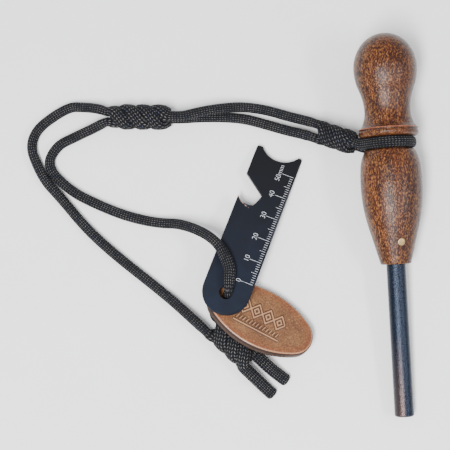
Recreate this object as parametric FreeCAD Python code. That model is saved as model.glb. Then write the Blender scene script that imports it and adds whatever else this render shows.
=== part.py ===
import FreeCAD, Part
import math
import os

from FreeCAD import Vector

# Fire steel: a ferrocerium rod in a turned wooden handle, with a braided
# lanyard that carries a flat striker and an oval leather fob. Millimetres.
# The object lies as put down on a table: floor at z = 0, the handle along Y
# with its bulb towards +Y, the lanyard spread out towards -X.

# Handle, measured along its own axis from the top of the bulb
WOOD_LENGTH = 95.9
BULB_RADIUS = 13.1
BULB_AT = 14.5
NECK_RADIUS = 9.5
NECK_AT = 32.5
COLLAR_RADIUS = 12.0
COLLAR_AT = 41.3
COLLAR_ABOVE = 1.9
COLLAR_BELOW = 2.0
COLLAR_ROUND = 1.2
GROOVE_RADIUS = 7.1
BELLY_RADIUS = 12.75
BELLY_AT = 62.5
BELLY_CURVE = 69.0
SHOULDER_RADIUS = 10.9
SHOULDER_ROUND = 2.0
SHOULDER_LEAN = 26.0
TAPER_AT = 80.5
END_RADIUS = 6.4
END_ROUND = 0.8

# Ferrocerium rod
ROD_RADIUS = 4.0
ROD_EXPOSED = 62.6
ROD_HIDDEN = 38.0
ROD_CHAMFER = 0.5
ROD_SEAT_RADIUS = 3.8
ROD_SEAT_OUT = 0.1
GLUE_GAP = 0.05

# Brass cross pin
PIN_RADIUS = 1.5
PIN_FROM_END = 9.0
PIN_TURN = 10.5

# Cord
CORD_RADIUS = 2.0
CORD_GAP = 0.15
GROOVE_SLACK = 0.5
LEAD = 5.0

# Striker: a flat plate, measured from the centre of its round end
STRIKER_WIDTH = 20.0
STRIKER_THICKNESS = 2.0
STRIKER_REACH = 64.4
STRIKER_EYE_RADIUS = 2.75
STRIKER_EYE_BACK = 0.9
STRIKER_BEVEL = 0.5
SCRAPER_LAND = 2.0
SCRAPER_DEPTH = 3.8
SCRAPER_OFFSET = 0.4
SCRAPER_SKEW = 0.9
TIP_ROUND = 0.9
NOTCH_FROM = 40.6
NOTCH_TO = 51.0
NOTCH_DEPTH = 9.7
NOTCH_AT = 43.6
NOTCH_FLOOR = 37.9
NOTCH_FLOOR_SHARE = 0.55
NOTCH_CORNER_DEPTH = 7.6
NOTCH_CORNER_AT = 38.4

# Leather fob: a thick oval
FOB_LENGTH = 47.0
FOB_WIDTH = 26.0
FOB_THICKNESS = 4.5
FOB_END_RADIUS = 8.8
FOB_EDGE = 0.5
FOB_EYE_RADIUS = 2.75
FOB_EYE_ALONG = 16.9
FOB_EYE_ACROSS = 1.5

# How the flat pieces lie: the striker tips stand on the floor and its round
# end lies on the fob, and the fob leans on the end knot
STRIKER_YAW = 66.2
STRIKER_PITCH = 10.39
STRIKER_END = Vector(-70.4, -28.7, 13.75)
FOB_CENTRE = Vector(-56.85, -40.2, 9.2)
FOB_LEAN = 22.0
FOB_LEAN_TOWARDS = 51.0
FOB_YAW = -29.1


class Knot:
    """Two strands twisted round each other, from one end of a knot to the other."""

    def __init__(self, start, end, phase, half_turns, tube, across=3.5, height=2.45, ramp=4.0):
        self.start = start
        self.length = (end - start).Length
        self.along = (end - start).normalize()
        up = Vector(0, 0, 1)
        self.up = (up - self.along * up.dot(self.along)).normalize()
        self.side = self.up.cross(self.along)
        self.phase = phase
        self.turn = half_turns * math.pi
        self.tube = tube
        self.across = across
        self.height = height
        self.ramp = ramp

    def angle(self, at):
        rate = self.turn / (self.length - self.ramp)
        if at < self.ramp:
            turned = rate * at * at / (2 * self.ramp)
        elif at > self.length - self.ramp:
            left = self.length - at
            turned = self.turn - rate * left * left / (2 * self.ramp)
        else:
            turned = rate * (at - self.ramp / 2)
        return self.phase + turned

    def point(self, at, strand):
        angle = self.angle(at) + strand * math.pi
        offset = self.side * (self.across * math.cos(angle)) + self.up * (self.height * math.sin(angle))
        return self.start + self.along * at + offset

    def tangent(self, at, strand):
        step = 0.01
        ahead = self.point(min(at + step, self.length), strand)
        behind = self.point(max(at - step, 0.0), strand)
        return (ahead - behind).normalize()

    def stations(self, strand):
        """A point and a direction at each quarter turn."""
        quarters = round(self.turn / (math.pi / 2))
        rate = self.turn / (self.length - self.ramp)
        places = [math.pi / 2 * i / rate + self.ramp / 2 for i in range(1, quarters)]
        inner = [(self.point(at, strand), self.tangent(at, strand)) for at in places]
        first = (self.point(0.0, strand), self.along)
        last = (self.point(self.length, strand), self.along)
        return [first] + inner + [last]


def arc_edge(start, tangent, end):
    """The arc that leaves start along tangent and arrives at end."""
    chord = end - start
    direction = Vector(chord).normalize()
    cosine = max(-1.0, min(1.0, tangent.dot(direction)))
    if cosine > 0.999999:
        return Part.LineSegment(start, end).toShape(), math.inf
    bend = math.acos(cosine)
    halfway = (tangent + direction).normalize()
    middle = start + halfway * (chord.Length / (2 * math.cos(bend / 2)))
    return Part.Arc(start, middle, end).toShape(), chord.Length / (2 * math.sin(bend))


def biarc_edges(start, start_tangent, end, end_tangent):
    """Two arcs that join two points with a given tangent at each."""
    span = end - start
    tangents = start_tangent + end_tangent
    a = 2 * (1 - start_tangent.dot(end_tangent))
    b = span.dot(tangents)
    c = span.dot(span)
    if abs(a) < 1e-9:
        reach = c / (2 * b)
    else:
        reach = (-b + math.sqrt(b * b + a * c)) / a
    joint = (start + end + (start_tangent - end_tangent) * reach) * 0.5
    first, radius_1 = arc_edge(start, start_tangent, joint)
    leave = mirrored(end_tangent, end - joint)
    second, radius_2 = arc_edge(joint, leave, end)
    return [first, second], min(radius_1, radius_2)


def mirrored(tangent, chord):
    """The tangent at the other end of an arc with this chord."""
    direction = Vector(chord).normalize()
    return direction * (2 * tangent.dot(direction)) - tangent


def smooth_path(stops):
    """A wire of arcs through points with tangents, and its smallest radius."""
    edges = []
    smallest = math.inf
    for (start, tangent), (end, end_tangent) in zip(stops, stops[1:]):
        pair, radius = biarc_edges(start, tangent, end, end_tangent)
        edges += pair
        smallest = min(smallest, radius)
    return Part.Wire(edges), smallest


def route_path(points):
    """Straight runs joined by tangent arcs, and the smallest arc radius."""
    edges = []
    smallest = math.inf
    last = points[0]
    for before, corner, after in zip(points, points[1:], points[2:]):
        arriving = (corner - before).normalize()
        leaving = (after - corner).normalize()
        shorter = min((corner - before).Length, (after - corner).Length)
        reach = 0.45 * shorter
        turn = arriving.getAngle(leaving)
        smallest = min(smallest, reach / math.tan(turn / 2))
        start = corner - arriving * reach
        end = corner + leaving * reach
        edges.append(Part.LineSegment(last, start).toShape())
        edges.append(arc_edge(start, arriving, end)[0])
        last = end
    edges.append(Part.LineSegment(last, points[-1]).toShape())
    return Part.Wire(edges), smallest


def tube(name, path, smallest, radius):
    """A round tube along a path, checked against its section times its length."""
    start = path.Edges[0].valueAt(path.Edges[0].FirstParameter)
    heading = path.Edges[0].tangentAt(path.Edges[0].FirstParameter)
    section = Part.Wire(Part.makeCircle(radius, start, heading))
    shell = Part.BRepOffsetAPI.MakePipeShell(path)
    shell.add(section)
    shell.build()
    shell.makeSolid()
    solid = shell.shape()
    expected = math.pi * radius * radius * path.Length
    print(f"{name}: length {path.Length:.1f}, smallest radius {smallest:.1f}, "
          f"volume share {solid.Volume / expected:.4f}, valid {solid.isValid()}")
    return solid


def handle_profile():
    """Half outline of the turned handle, x along the axis from the top, y outwards."""
    def at(x, y):
        return Vector(x, y, 0)

    def bend(a, b, c):
        return Part.Arc(a, b, c).toShape()

    def line(a, b):
        return Part.LineSegment(a, b).toShape()

    crown = at(BULB_AT, BULB_RADIUS)
    waist = at(NECK_AT, NECK_RADIUS)
    flow = Vector(1, 0, 0)
    edges = biarc_edges(at(0, 0), Vector(0, 1, 0), crown, flow)[0]
    edges += biarc_edges(crown, flow, waist, flow)[0]
    rim_top = at(COLLAR_AT - COLLAR_ABOVE, COLLAR_RADIUS - COLLAR_ROUND / 2)
    edges.append(arc_edge(waist, flow, rim_top)[0])
    wall_at = groove_at() - groove_half()
    rim_low = at(wall_at, COLLAR_RADIUS - COLLAR_ROUND)
    edges.append(bend(rim_top, at(COLLAR_AT, COLLAR_RADIUS), rim_low))
    wall_low = at(wall_at, GROOVE_RADIUS)
    floor_end = at(groove_at() + groove_half(), GROOVE_RADIUS)
    edges.append(line(rim_low, wall_low))
    edges.append(line(wall_low, floor_end))
    shoulder_low = at(floor_end.x, SHOULDER_RADIUS - SHOULDER_ROUND)
    edges.append(line(floor_end, shoulder_low))
    centre = at(floor_end.x + SHOULDER_ROUND, SHOULDER_RADIUS - SHOULDER_ROUND)
    lean = math.radians(SHOULDER_LEAN)
    shoulder = centre + Vector(-math.sin(lean), math.cos(lean), 0) * SHOULDER_ROUND
    middle_turn = math.radians((90 + SHOULDER_LEAN) / 2)
    middle = centre + Vector(-math.sin(middle_turn), math.cos(middle_turn), 0) * SHOULDER_ROUND
    edges.append(bend(shoulder_low, middle, shoulder))
    belly = at(BELLY_AT, BELLY_RADIUS)
    edges += biarc_edges(shoulder, Vector(math.cos(lean), math.sin(lean), 0), belly, flow)[0]
    taper_turn = math.asin((TAPER_AT - BELLY_AT) / BELLY_CURVE)
    taper = at(TAPER_AT, BELLY_RADIUS - BELLY_CURVE * (1 - math.cos(taper_turn)))
    edges.append(arc_edge(belly, flow, taper)[0])
    last = at(WOOD_LENGTH - END_ROUND, END_RADIUS)
    edges.append(line(taper, last))
    edges.append(bend(last, at(WOOD_LENGTH - END_ROUND * 0.3, END_RADIUS - END_ROUND * 0.3),
                      at(WOOD_LENGTH, END_RADIUS - END_ROUND)))
    edges.append(line(at(WOOD_LENGTH, END_RADIUS - END_ROUND), at(WOOD_LENGTH, 0)))
    edges.append(line(at(WOOD_LENGTH, 0), at(0, 0)))
    return Part.Wire(Part.__sortEdges__(edges))


def groove_half():
    return CORD_RADIUS + GROOVE_SLACK


def groove_at():
    """Middle of the groove, just below the collar."""
    return COLLAR_AT + COLLAR_BELOW + groove_half()


def rest_tilt():
    """Angle of the handle when its belly and the tip of the rod both touch the floor."""
    along = WOOD_LENGTH + ROD_EXPOSED - ROD_CHAMFER - BELLY_AT
    drop = BELLY_CURVE - BELLY_RADIUS + ROD_RADIUS
    reach = math.hypot(along, drop)
    return math.asin(BELLY_CURVE / reach) - math.atan2(drop, along)


TILT = rest_tilt()
AXIS = Vector(0, math.cos(TILT), math.sin(TILT))
ABOVE = Vector(0, -math.sin(TILT), math.cos(TILT))
ACROSS = Vector(1, 0, 0)
TIP_Y = -83.0


def on_axis(station):
    """A point on the handle's axis, this far from the top of the bulb."""
    edge = WOOD_LENGTH + ROD_EXPOSED - ROD_CHAMFER
    edge_point = Vector(0, TIP_Y, ROD_RADIUS * math.cos(TILT))
    return edge_point + AXIS * (edge - station)


def placed(shape, origin, x_axis, y_axis, z_axis):
    """Moves a shape drawn in its own axes to its place on the object."""
    matrix = FreeCAD.Matrix(
        x_axis.x, y_axis.x, z_axis.x, origin.x,
        x_axis.y, y_axis.y, z_axis.y, origin.y,
        x_axis.z, y_axis.z, z_axis.z, origin.z,
        0, 0, 0, 1)
    moved = shape.copy()
    moved.Placement = FreeCAD.Placement(matrix)
    return moved


def handle_parts():
    """The turned handle, the rod glued in it and the pin through both."""
    turned = Part.Face(handle_profile()).revolve(Vector(0, 0, 0), Vector(1, 0, 0), 360)
    top = on_axis(0)
    turned = placed(turned, top, AXIS * -1, ABOVE, ACROSS * -1)
    rod_start = on_axis(WOOD_LENGTH - ROD_HIDDEN)
    socket = Part.makeCylinder(ROD_RADIUS + GLUE_GAP, ROD_HIDDEN + 1, rod_start + AXIS * GLUE_GAP, AXIS * -1)
    seat_length = ROD_HIDDEN + ROD_SEAT_OUT
    bare = Part.makeCylinder(ROD_RADIUS, ROD_EXPOSED - ROD_SEAT_OUT, rod_start - AXIS * seat_length,
                             AXIS * -1)
    far_edge = max(bare.Edges, key=lambda edge: edge.CenterOfMass.dot(AXIS * -1))
    bare = bare.makeChamfer(ROD_CHAMFER, [far_edge])
    rod = bare.fuse(Part.makeCylinder(ROD_SEAT_RADIUS, seat_length, rod_start, AXIS * -1))
    turn = math.radians(PIN_TURN)
    pin_axis = ABOVE * math.cos(turn) + ACROSS * math.sin(turn)
    pin_centre = on_axis(WOOD_LENGTH - PIN_FROM_END)
    pin_end = pin_centre - pin_axis * BELLY_RADIUS
    pin = Part.makeCylinder(PIN_RADIUS, 2 * BELLY_RADIUS, pin_end, pin_axis)
    hole = Part.makeCylinder(PIN_RADIUS + GLUE_GAP, 2 * BELLY_RADIUS, pin_end, pin_axis)
    pin = pin.common(turned)
    wood = turned.cut(socket.fuse(hole))
    rod = rod.cut(hole)
    return wood, rod, pin


def striker_axes():
    yaw = math.radians(STRIKER_YAW)
    pitch = math.radians(STRIKER_PITCH)
    along = Vector(math.cos(yaw) * math.cos(pitch), math.sin(yaw) * math.cos(pitch), -math.sin(pitch))
    right = Vector(math.sin(yaw), -math.cos(yaw), 0)
    return along, right * -1, right.cross(along)


def striker_eye():
    """Centre of the eye on the striker's upper face."""
    return STRIKER_END - striker_axes()[0] * STRIKER_EYE_BACK


def striker():
    """Flat plate: eye in the round end, notch in the left edge, curved scraper at the tip.

    Drawn with x along the plate and y to its left, upper face at z = 0.
    """
    half = STRIKER_WIDTH / 2

    def at(x, y):
        return Vector(x, y, 0)

    def bend(a, b, c):
        return Part.Arc(a, b, c).toShape()

    def line(a, b):
        return Part.LineSegment(a, b).toShape()

    scraper_half = half - SCRAPER_LAND
    notch_mouth = at(NOTCH_FROM, half)
    notch_floor = at(NOTCH_FLOOR, half - NOTCH_CORNER_DEPTH * NOTCH_FLOOR_SHARE)
    notch_corner = at(NOTCH_CORNER_AT, half - NOTCH_CORNER_DEPTH)
    notch_deep = at(NOTCH_AT, half - NOTCH_DEPTH)
    left_tip = at(STRIKER_REACH, scraper_half - SCRAPER_OFFSET)
    right_tip = at(STRIKER_REACH + SCRAPER_SKEW, -scraper_half - SCRAPER_OFFSET)
    right_corner = at(STRIKER_REACH + SCRAPER_SKEW, -half)
    scraper_low = at(STRIKER_REACH - SCRAPER_DEPTH, -SCRAPER_OFFSET - SCRAPER_SKEW)
    outline = [
        bend(at(0, -half), at(-half, 0), at(0, half)),
        line(at(0, half), notch_mouth),
        bend(notch_mouth, notch_floor, notch_corner),
        line(notch_corner, notch_deep),
        line(notch_deep, at(NOTCH_TO, half)),
        line(at(NOTCH_TO, half), at(STRIKER_REACH, half)),
        line(at(STRIKER_REACH, half), left_tip),
        bend(left_tip, scraper_low, right_tip),
        line(right_tip, right_corner),
        line(right_corner, at(0, -half)),
    ]
    plate = Part.Face(Part.Wire(outline)).extrude(Vector(0, 0, -STRIKER_THICKNESS))
    tip_corners = [edge for edge in plate.Edges
                   if abs(edge.tangentAt(edge.FirstParameter).z) > 0.9
                   and edge.CenterOfMass.x > STRIKER_REACH - 0.1
                   and abs(abs(edge.CenterOfMass.y) - half) < 0.1]
    plate = plate.makeFillet(TIP_ROUND, tip_corners)
    long_edge = [edge for edge in plate.Edges
                 if abs(edge.CenterOfMass.y + half) < 0.01 and abs(edge.CenterOfMass.z) < 0.01]
    plate = plate.makeChamfer(STRIKER_BEVEL, long_edge)
    eye = Part.makeCylinder(STRIKER_EYE_RADIUS, 3 * STRIKER_THICKNESS,
                            Vector(-STRIKER_EYE_BACK, 0, -2 * STRIKER_THICKNESS))
    along, left, normal = striker_axes()
    return placed(plate.cut(eye), STRIKER_END, along, left, normal)


def fob_axes():
    lean = math.radians(FOB_LEAN)
    towards = math.radians(FOB_LEAN_TOWARDS)
    normal = Vector(math.cos(towards) * math.sin(lean), math.sin(towards) * math.sin(lean), math.cos(lean))
    yaw = math.radians(FOB_YAW)
    along = Vector(math.cos(yaw), math.sin(yaw), 0)
    along = (along - normal * along.dot(normal)).normalize()
    return along, normal.cross(along), normal


def fob_eye():
    """Centre of the eye on the fob's upper face."""
    along, across, normal = fob_axes()
    return FOB_CENTRE - along * FOB_EYE_ALONG + across * FOB_EYE_ACROSS


def fob():
    """Oval of thick leather, drawn on four centres, with an eye and a bevelled rim."""
    end, side, small = FOB_LENGTH / 2, FOB_WIDTH / 2, FOB_END_RADIUS
    large = ((end - small) ** 2 + side ** 2 - small ** 2) / (2 * (side - small))
    lean = math.atan2(large - side, end - small)
    join_x = end - small + small * math.cos(lean)
    join_y = small * math.sin(lean)
    joins = [Vector(join_x, join_y, 0), Vector(-join_x, join_y, 0),
             Vector(-join_x, -join_y, 0), Vector(join_x, -join_y, 0)]
    tops = [Vector(0, side, 0), Vector(-end, 0, 0), Vector(0, -side, 0), Vector(end, 0, 0)]
    arcs = [Part.Arc(joins[i], tops[i], joins[(i + 1) % 4]).toShape() for i in range(4)]
    slab = Part.Face(Part.Wire(arcs)).extrude(Vector(0, 0, -FOB_THICKNESS))
    rims = [edge for edge in slab.Edges if edge.Length > FOB_THICKNESS * 1.5]
    slab = slab.makeChamfer(FOB_EDGE, rims)
    eye = Part.makeCylinder(FOB_EYE_RADIUS, 3 * FOB_THICKNESS,
                            Vector(-FOB_EYE_ALONG, FOB_EYE_ACROSS, -2 * FOB_THICKNESS))
    along, across, normal = fob_axes()
    return placed(slab.cut(eye), FOB_CENTRE, along, across, normal)


# Lanyard: the knots, from the handle outwards
NOOSE_RADIUS = GROOVE_RADIUS + CORD_GAP + CORD_RADIUS
GROOVE = on_axis(groove_at())
KNOT_HEIGHT = 4.65
KNOT_TUBE = 2.12
HANDLE_KNOT = Knot(GROOVE + ACROSS * -13.3 + ABOVE * -4.5 + AXIS * 0.8, Vector(-29.2, 37.0, 6.4),
                   math.pi / 2, 2.5, CORD_RADIUS, 3.0, 2.6)
MIDDLE_KNOT = Knot(Vector(-90.1, 46.6, KNOT_HEIGHT), Vector(-117.5, 48.3, KNOT_HEIGHT),
                   math.pi / 2, 3.5, KNOT_TUBE, 3.4, 2.45)
END_KNOT = Knot(Vector(-77.0, -42.4, KNOT_HEIGHT), Vector(-61.3, -58.8, KNOT_HEIGHT),
                0, 3, KNOT_TUBE, 3.55, 2.5)

# Free stretches of cord, between the points where they leave the knots
PAIR_UPPER = [(-40.0, 44.2, 4.3), (-49.6, 48.0, 2.8), (-60.0, 49.8, 3.9), (-70.6, 49.0, 5.8),
              (-78.8, 47.7, 6.7)]
PAIR_LOWER = [(-40.4, 38.0, 4.1), (-50.6, 42.0, 2.2), (-58.6, 44.7, 2.0), (-66.8, 45.9, 2.0),
              (-77.4, 46.5, 2.0)]
OUTER = [(-134.6, 54.0, 2.2), (-152.0, 41.9, 2.0), (-146.5, 24.5, 2.0), (-137.8, 14.1, 2.0),
         (-128.4, 1.6, 2.0), (-118.0, -9.0, 2.0), (-106.7, -19.0, 2.0), (-94.7, -29.5, 2.2)]
INNER = [(-130.4, 43.8, 2.6), (-138.9, 39.1, 2.0), (-144.2, 28.7, 2.0), (-134.3, 17.6, 2.0),
         (-122.4, 10.9, 2.0), (-110.7, 5.5, 2.0), (-97.8, 1.9, 2.2), (-86.8, 0.8, 4.9),
         (-73.6, -7.1, 13.1)]
TAIL_LONG = [(-56.5, -69.0, 2.4), (-53.2, -72.2, 2.1)]
TAIL_SHORT = [(-51.1, -63.8, 2.4), (-47.2, -66.8, 2.1)]
OVER_STRIKER = (5.7, 0.7)
ON_TO_EYE = (-0.95, -0.3)
EYE_SIDE = 0.3
CORD_REST = 0.25
EYE_BEND = 2.6
UNDER_FOB = (-74.4, -34.3, 2.8)
UNDER_HEADING = (-0.62, -0.79, 0.0)


def vectors(points):
    return [Vector(*point) for point in points]


def between(knot_1, strand_1, points, knot_2, strand_2):
    """Route from the far end of one knot to the near end of the next."""
    start = knot_1.point(knot_1.length, strand_1)
    end = knot_2.point(0, strand_2)
    return ([start, start + knot_1.along * LEAD] + vectors(points)
            + [end - knot_2.along * LEAD, end])


def noose_stops():
    """The noose: from the lower strand at the handle knot, round the groove, to the upper one."""
    knot = HANDLE_KNOT
    low = knot.point(0, 1)
    high = knot.point(0, 0)
    heading = knot.along * -1

    def spoke(degrees):
        angle = math.radians(degrees)
        return ACROSS * math.cos(angle) + ABOVE * math.sin(angle)

    def tangent(degrees):
        angle = math.radians(degrees)
        return ABOVE * math.cos(angle) - ACROSS * math.sin(angle)

    turns = [-92, 0, 90, 140]
    stops = [(low, heading)]
    stops += [(GROOVE + spoke(turn) * NOOSE_RADIUS, tangent(turn)) for turn in turns]
    stops.append((high, heading * -1))
    return stops


def eye_stops():
    """The inner strand from the striker's upper face through both eyes into the end knot."""
    along, left, normal = striker_axes()
    fob_normal = fob_axes()[2]
    over = (striker_eye() + along * OVER_STRIKER[0] + left * OVER_STRIKER[1]
            + normal * (CORD_RADIUS + CORD_REST))
    heading = (along * ON_TO_EYE[0] + left * ON_TO_EYE[1]).normalize()
    top = striker_eye() - left * EYE_SIDE + normal * (CORD_RADIUS + CORD_REST)
    bend_from = top - heading * EYE_BEND
    bend_to = top - normal * EYE_BEND
    in_fob = fob_eye() - fob_normal * (FOB_THICKNESS / 2)
    down = (in_fob - bend_to).normalize()
    knot = END_KNOT
    return [(over, heading), (bend_from, heading), (bend_to, normal * -1),
            (in_fob, (down - fob_normal).normalize()),
            (Vector(*UNDER_FOB), Vector(*UNDER_HEADING).normalize()),
            (knot.point(0, 0), knot.along)]


def least_gap(name, path_1, path_2, tube_radius):
    """Prints the least gap between the surfaces of two strands, from points along both."""
    points_1 = path_1.discretize(Number=160)
    points_2 = path_2.discretize(Number=160)
    nearest = min(p.distanceToPoint(q) for p in points_1 for q in points_2)
    print(f"{name}: least gap between its strands {nearest - 2 * tube_radius:.2f} mm")


def lanyard_parts():
    parts = {}
    path, smallest = smooth_path(noose_stops())
    parts["lanyard_noose"] = tube("noose", path, smallest, CORD_RADIUS)
    knots = {"knot_at_handle": HANDLE_KNOT, "knot_middle": MIDDLE_KNOT, "knot_end": END_KNOT}
    for name, knot in knots.items():
        strands = []
        paths = []
        for strand in (0, 1):
            path, smallest = smooth_path(knot.stations(strand))
            paths.append(path)
            strands.append(tube(f"{name} strand {strand + 1}", path, smallest, knot.tube))
        least_gap(name, paths[0], paths[1], knot.tube)
        parts[name] = Part.Compound(strands)
    eye = eye_stops()
    start = MIDDLE_KNOT.point(MIDDLE_KNOT.length, 0)
    over, heading = eye[0]
    inner = [start, start + MIDDLE_KNOT.along * LEAD] + vectors(INNER) + [over - heading * LEAD, over]
    routes = {
        "cord_pair_upper": between(HANDLE_KNOT, 0, PAIR_UPPER, MIDDLE_KNOT, 0),
        "cord_pair_lower": between(HANDLE_KNOT, 1, PAIR_LOWER, MIDDLE_KNOT, 1),
        "cord_outer": between(MIDDLE_KNOT, 1, OUTER, END_KNOT, 1),
        "cord_inner": inner,
    }
    tails = {"cord_tail_short": (1, TAIL_SHORT), "cord_tail_long": (0, TAIL_LONG)}
    for name, (strand, points) in tails.items():
        start = END_KNOT.point(END_KNOT.length, strand)
        routes[name] = [start, start + END_KNOT.along * LEAD] + vectors(points)
    for name, points in routes.items():
        path, smallest = route_path(points)
        parts[name] = tube(name, path, smallest, CORD_RADIUS)
    path, smallest = smooth_path(eye)
    parts["cord_through_eyes"] = tube("cord_through_eyes", path, smallest, CORD_RADIUS)
    return parts


def main():
    os.makedirs("parts", exist_ok=True)
    wood, rod, pin = handle_parts()
    rigid = {"handle_wood": wood, "ferro_rod": rod, "brass_pin": pin,
             "striker_plate": striker(), "leather_fob": fob()}
    box = Part.Compound(list(rigid.values())).optimalBoundingBox(False)
    shift = Vector(-(box.XMin + box.XMax) / 2, -(box.YMin + box.YMax) / 2, 0)
    print("tilt", math.degrees(TILT), "lowest", box.ZMin, "shift", shift)
    print("groove", GROOVE + shift, "axis", AXIS)
    print("striker eye", striker_eye() + shift, "axis", striker_axes()[2])
    print("fob eye", fob_eye() + shift, "axis", fob_axes()[2])
    print("rod tip", on_axis(WOOD_LENGTH + ROD_EXPOSED) + shift)
    for name, shape in {**rigid, **lanyard_parts()}.items():
        moved = shape.copy()
        moved.translate(shift)
        moved.exportStep(f"parts/{name}.step")


main()
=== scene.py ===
import math

import bmesh
import bpy
from mathutils import Matrix, Vector
from mathutils.geometry import delaunay_2d_cdt


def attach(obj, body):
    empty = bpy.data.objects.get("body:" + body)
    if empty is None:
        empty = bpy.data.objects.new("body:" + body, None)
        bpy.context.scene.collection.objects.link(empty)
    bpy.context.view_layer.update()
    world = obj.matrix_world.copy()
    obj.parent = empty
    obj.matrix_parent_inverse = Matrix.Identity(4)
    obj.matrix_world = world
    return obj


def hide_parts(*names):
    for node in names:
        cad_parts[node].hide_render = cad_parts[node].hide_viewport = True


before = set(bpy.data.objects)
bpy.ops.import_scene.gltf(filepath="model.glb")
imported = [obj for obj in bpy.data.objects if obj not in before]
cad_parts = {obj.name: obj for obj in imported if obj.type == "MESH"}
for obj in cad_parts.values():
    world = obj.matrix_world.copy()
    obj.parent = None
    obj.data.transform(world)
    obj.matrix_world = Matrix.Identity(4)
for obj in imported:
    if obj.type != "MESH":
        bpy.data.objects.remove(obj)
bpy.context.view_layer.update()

# Fire steel seen from above: a rod in a turned handle, a braided lanyard, a flat striker
# and a leather fob. Lengths in the dictionaries are millimetres in the part's own layout.
mm = 0.001
partShift = Vector((33.7095, 4.7398, 0.0))  # from the layout to the frame


def at(x, y, z):
    return (Vector((x, y, z)) + partShift) * mm


def axesMatrix(origin, xAxis, yAxis, zAxis):  # local millimetres to frame metres
    turn = Matrix((xAxis, yAxis, zAxis)).transposed() * mm
    return Matrix.Translation(origin) @ turn.to_4x4()


def linkMesh(name, mesh):
    made = bpy.data.objects.new(name, mesh)
    bpy.context.scene.collection.objects.link(made)
    return made


def toMesh(made, name):
    mesh = bpy.data.meshes.new(name)
    made.to_mesh(mesh)
    made.free()
    return mesh


def evaluatedMesh(holder):
    bpy.context.view_layer.update()
    return bpy.data.meshes.new_from_object(holder.evaluated_get(bpy.context.evaluated_depsgraph_get()))


def joinRings(made, pairs):  # faces between rings of vertices
    for first, second in pairs:
        for k in range(len(first)):
            after = (k + 1) % len(first)
            made.faces.new((first[k], first[after], second[after], second[k])).smooth = True


view = {"target": (-35.94, 4.74, 0.0), "elevation": 83.0, "roll": 3.0, "distance": 500.0,
        "lens": 94.5, "sensor": 36}


def makeCamera():
    lift = math.radians(view["elevation"])
    back = Vector((0, -math.cos(lift), math.sin(lift)))
    flatUp = Vector((0, math.sin(lift), math.cos(lift)))
    roll = math.radians(view["roll"])
    right = Vector((math.cos(roll), 0, 0)) - flatUp * math.sin(roll)
    up = Vector((math.sin(roll), 0, 0)) + flatUp * math.cos(roll)
    data = bpy.data.cameras.new("camera")
    data.lens = view["lens"]
    data.sensor_width = view["sensor"]
    data.clip_start = 0.01
    camera = bpy.data.objects.new("camera", data)
    bpy.context.scene.collection.objects.link(camera)
    place = (Vector(view["target"]) + back * view["distance"]) * mm
    camera.matrix_world = Matrix.Translation(place) @ Matrix((right, up, back)).transposed().to_4x4()
    bpy.context.scene.camera = camera


makeCamera()


tilt = math.radians(5.41926)  # of the handle, on its belly and the tip of the rod
handleAxis = Vector((0, math.cos(tilt), math.sin(tilt)))  # from the rod towards the bulb
handleAbove = Vector((0, -math.sin(tilt), math.cos(tilt)))
groove = Vector((0, 28.6985, 14.5786))  # where the noose sits, on the axis of the handle

cord = {
    "free": (4.2, 3.8, 2.0),      # width, height and fullness of the cord where it lies free
    "eye": (3.6, 3.6, 2.0),       # squeezed in the two eyes
    "knotted": (6.3, 4.3, 2.6),   # pressed flat against the next turn
    "tail": (5.1, 3.3, 2.3),
    "noose": (4.7, 3.9, 2.3),
    "onStriker": (4.8, 3.9, 2.1),
    "lead": 5.0,              # straight out of a knot, before the cord bends
    "twistEase": 4.0,         # length over which a knot's twist starts and ends
    "closing": 7.0,           # length over which a knot narrows at its end
    "step": 0.3,              # between the rings of the tube
    "search": 120,            # rings looked through for the next point of the route
    "columns": 14,            # columns of stitches round the braid
    "stitch": 1.12,
    "ridge": 0.06,
    "blunt": 1.3,             # length over which a cut end is fused and narrows
    "fused": 0.74,            # its share of the width at the very end
    "dome": 0.25,
    "domeInset": 0.72,
    "nooseRadius": 9.33,
    "diameter": 0.004,        # in metres, for the cord's record
    "pathEvery": 4,
}
handleKnot = {"start": groove + Vector((-13.3, 0, 0)) + handleAbove * -4.5 + handleAxis * 0.8,
              "end": Vector((-29.2, 37.0, 6.4)), "phase": math.pi / 2, "halfTurns": 2.5,
              "across": 3.0, "height": 2.6, "narrowEnd": 1.0, "leaving": "free", "level": 0}
middleKnot = {"start": Vector((-90.1, 46.6, 4.65)), "end": Vector((-117.5, 48.3, 4.65)),
              "phase": math.pi / 2, "halfTurns": 3.5, "across": 3.4, "height": 2.45,
              "narrowEnd": 0.62, "leaving": "free", "level": 0}
endKnot = {"start": Vector((-77.0, -42.4, 4.65)), "end": Vector((-61.3, -58.8, 4.65)),
           "phase": 0.0, "halfTurns": 3.0, "across": 3.55, "height": 2.5,
           "narrowEnd": 1.0, "leaving": "tail", "level": 2}
pairUpper = [(-40.0, 44.2, 4.3), (-49.6, 48.0, 2.8), (-60.0, 49.8, 3.9), (-70.6, 49.0, 5.8),
             (-78.8, 47.7, 6.7)]
pairLower = [(-40.4, 38.0, 4.1), (-50.6, 42.0, 2.2), (-58.6, 44.7, 2.0), (-66.8, 45.9, 2.0),
             (-77.4, 46.5, 2.0)]
outer = [(-120.7, 52.0, 4.2), (-126.4, 53.2, 3.0), (-134.6, 54.0, 2.2), (-152.0, 41.9, 2.0),
         (-146.5, 24.5, 2.0), (-137.8, 14.1, 2.0), (-128.4, 1.6, 2.0), (-118.0, -9.0, 2.0),
         (-106.7, -19.0, 2.0), (-94.7, -29.5, 2.2)]
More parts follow.
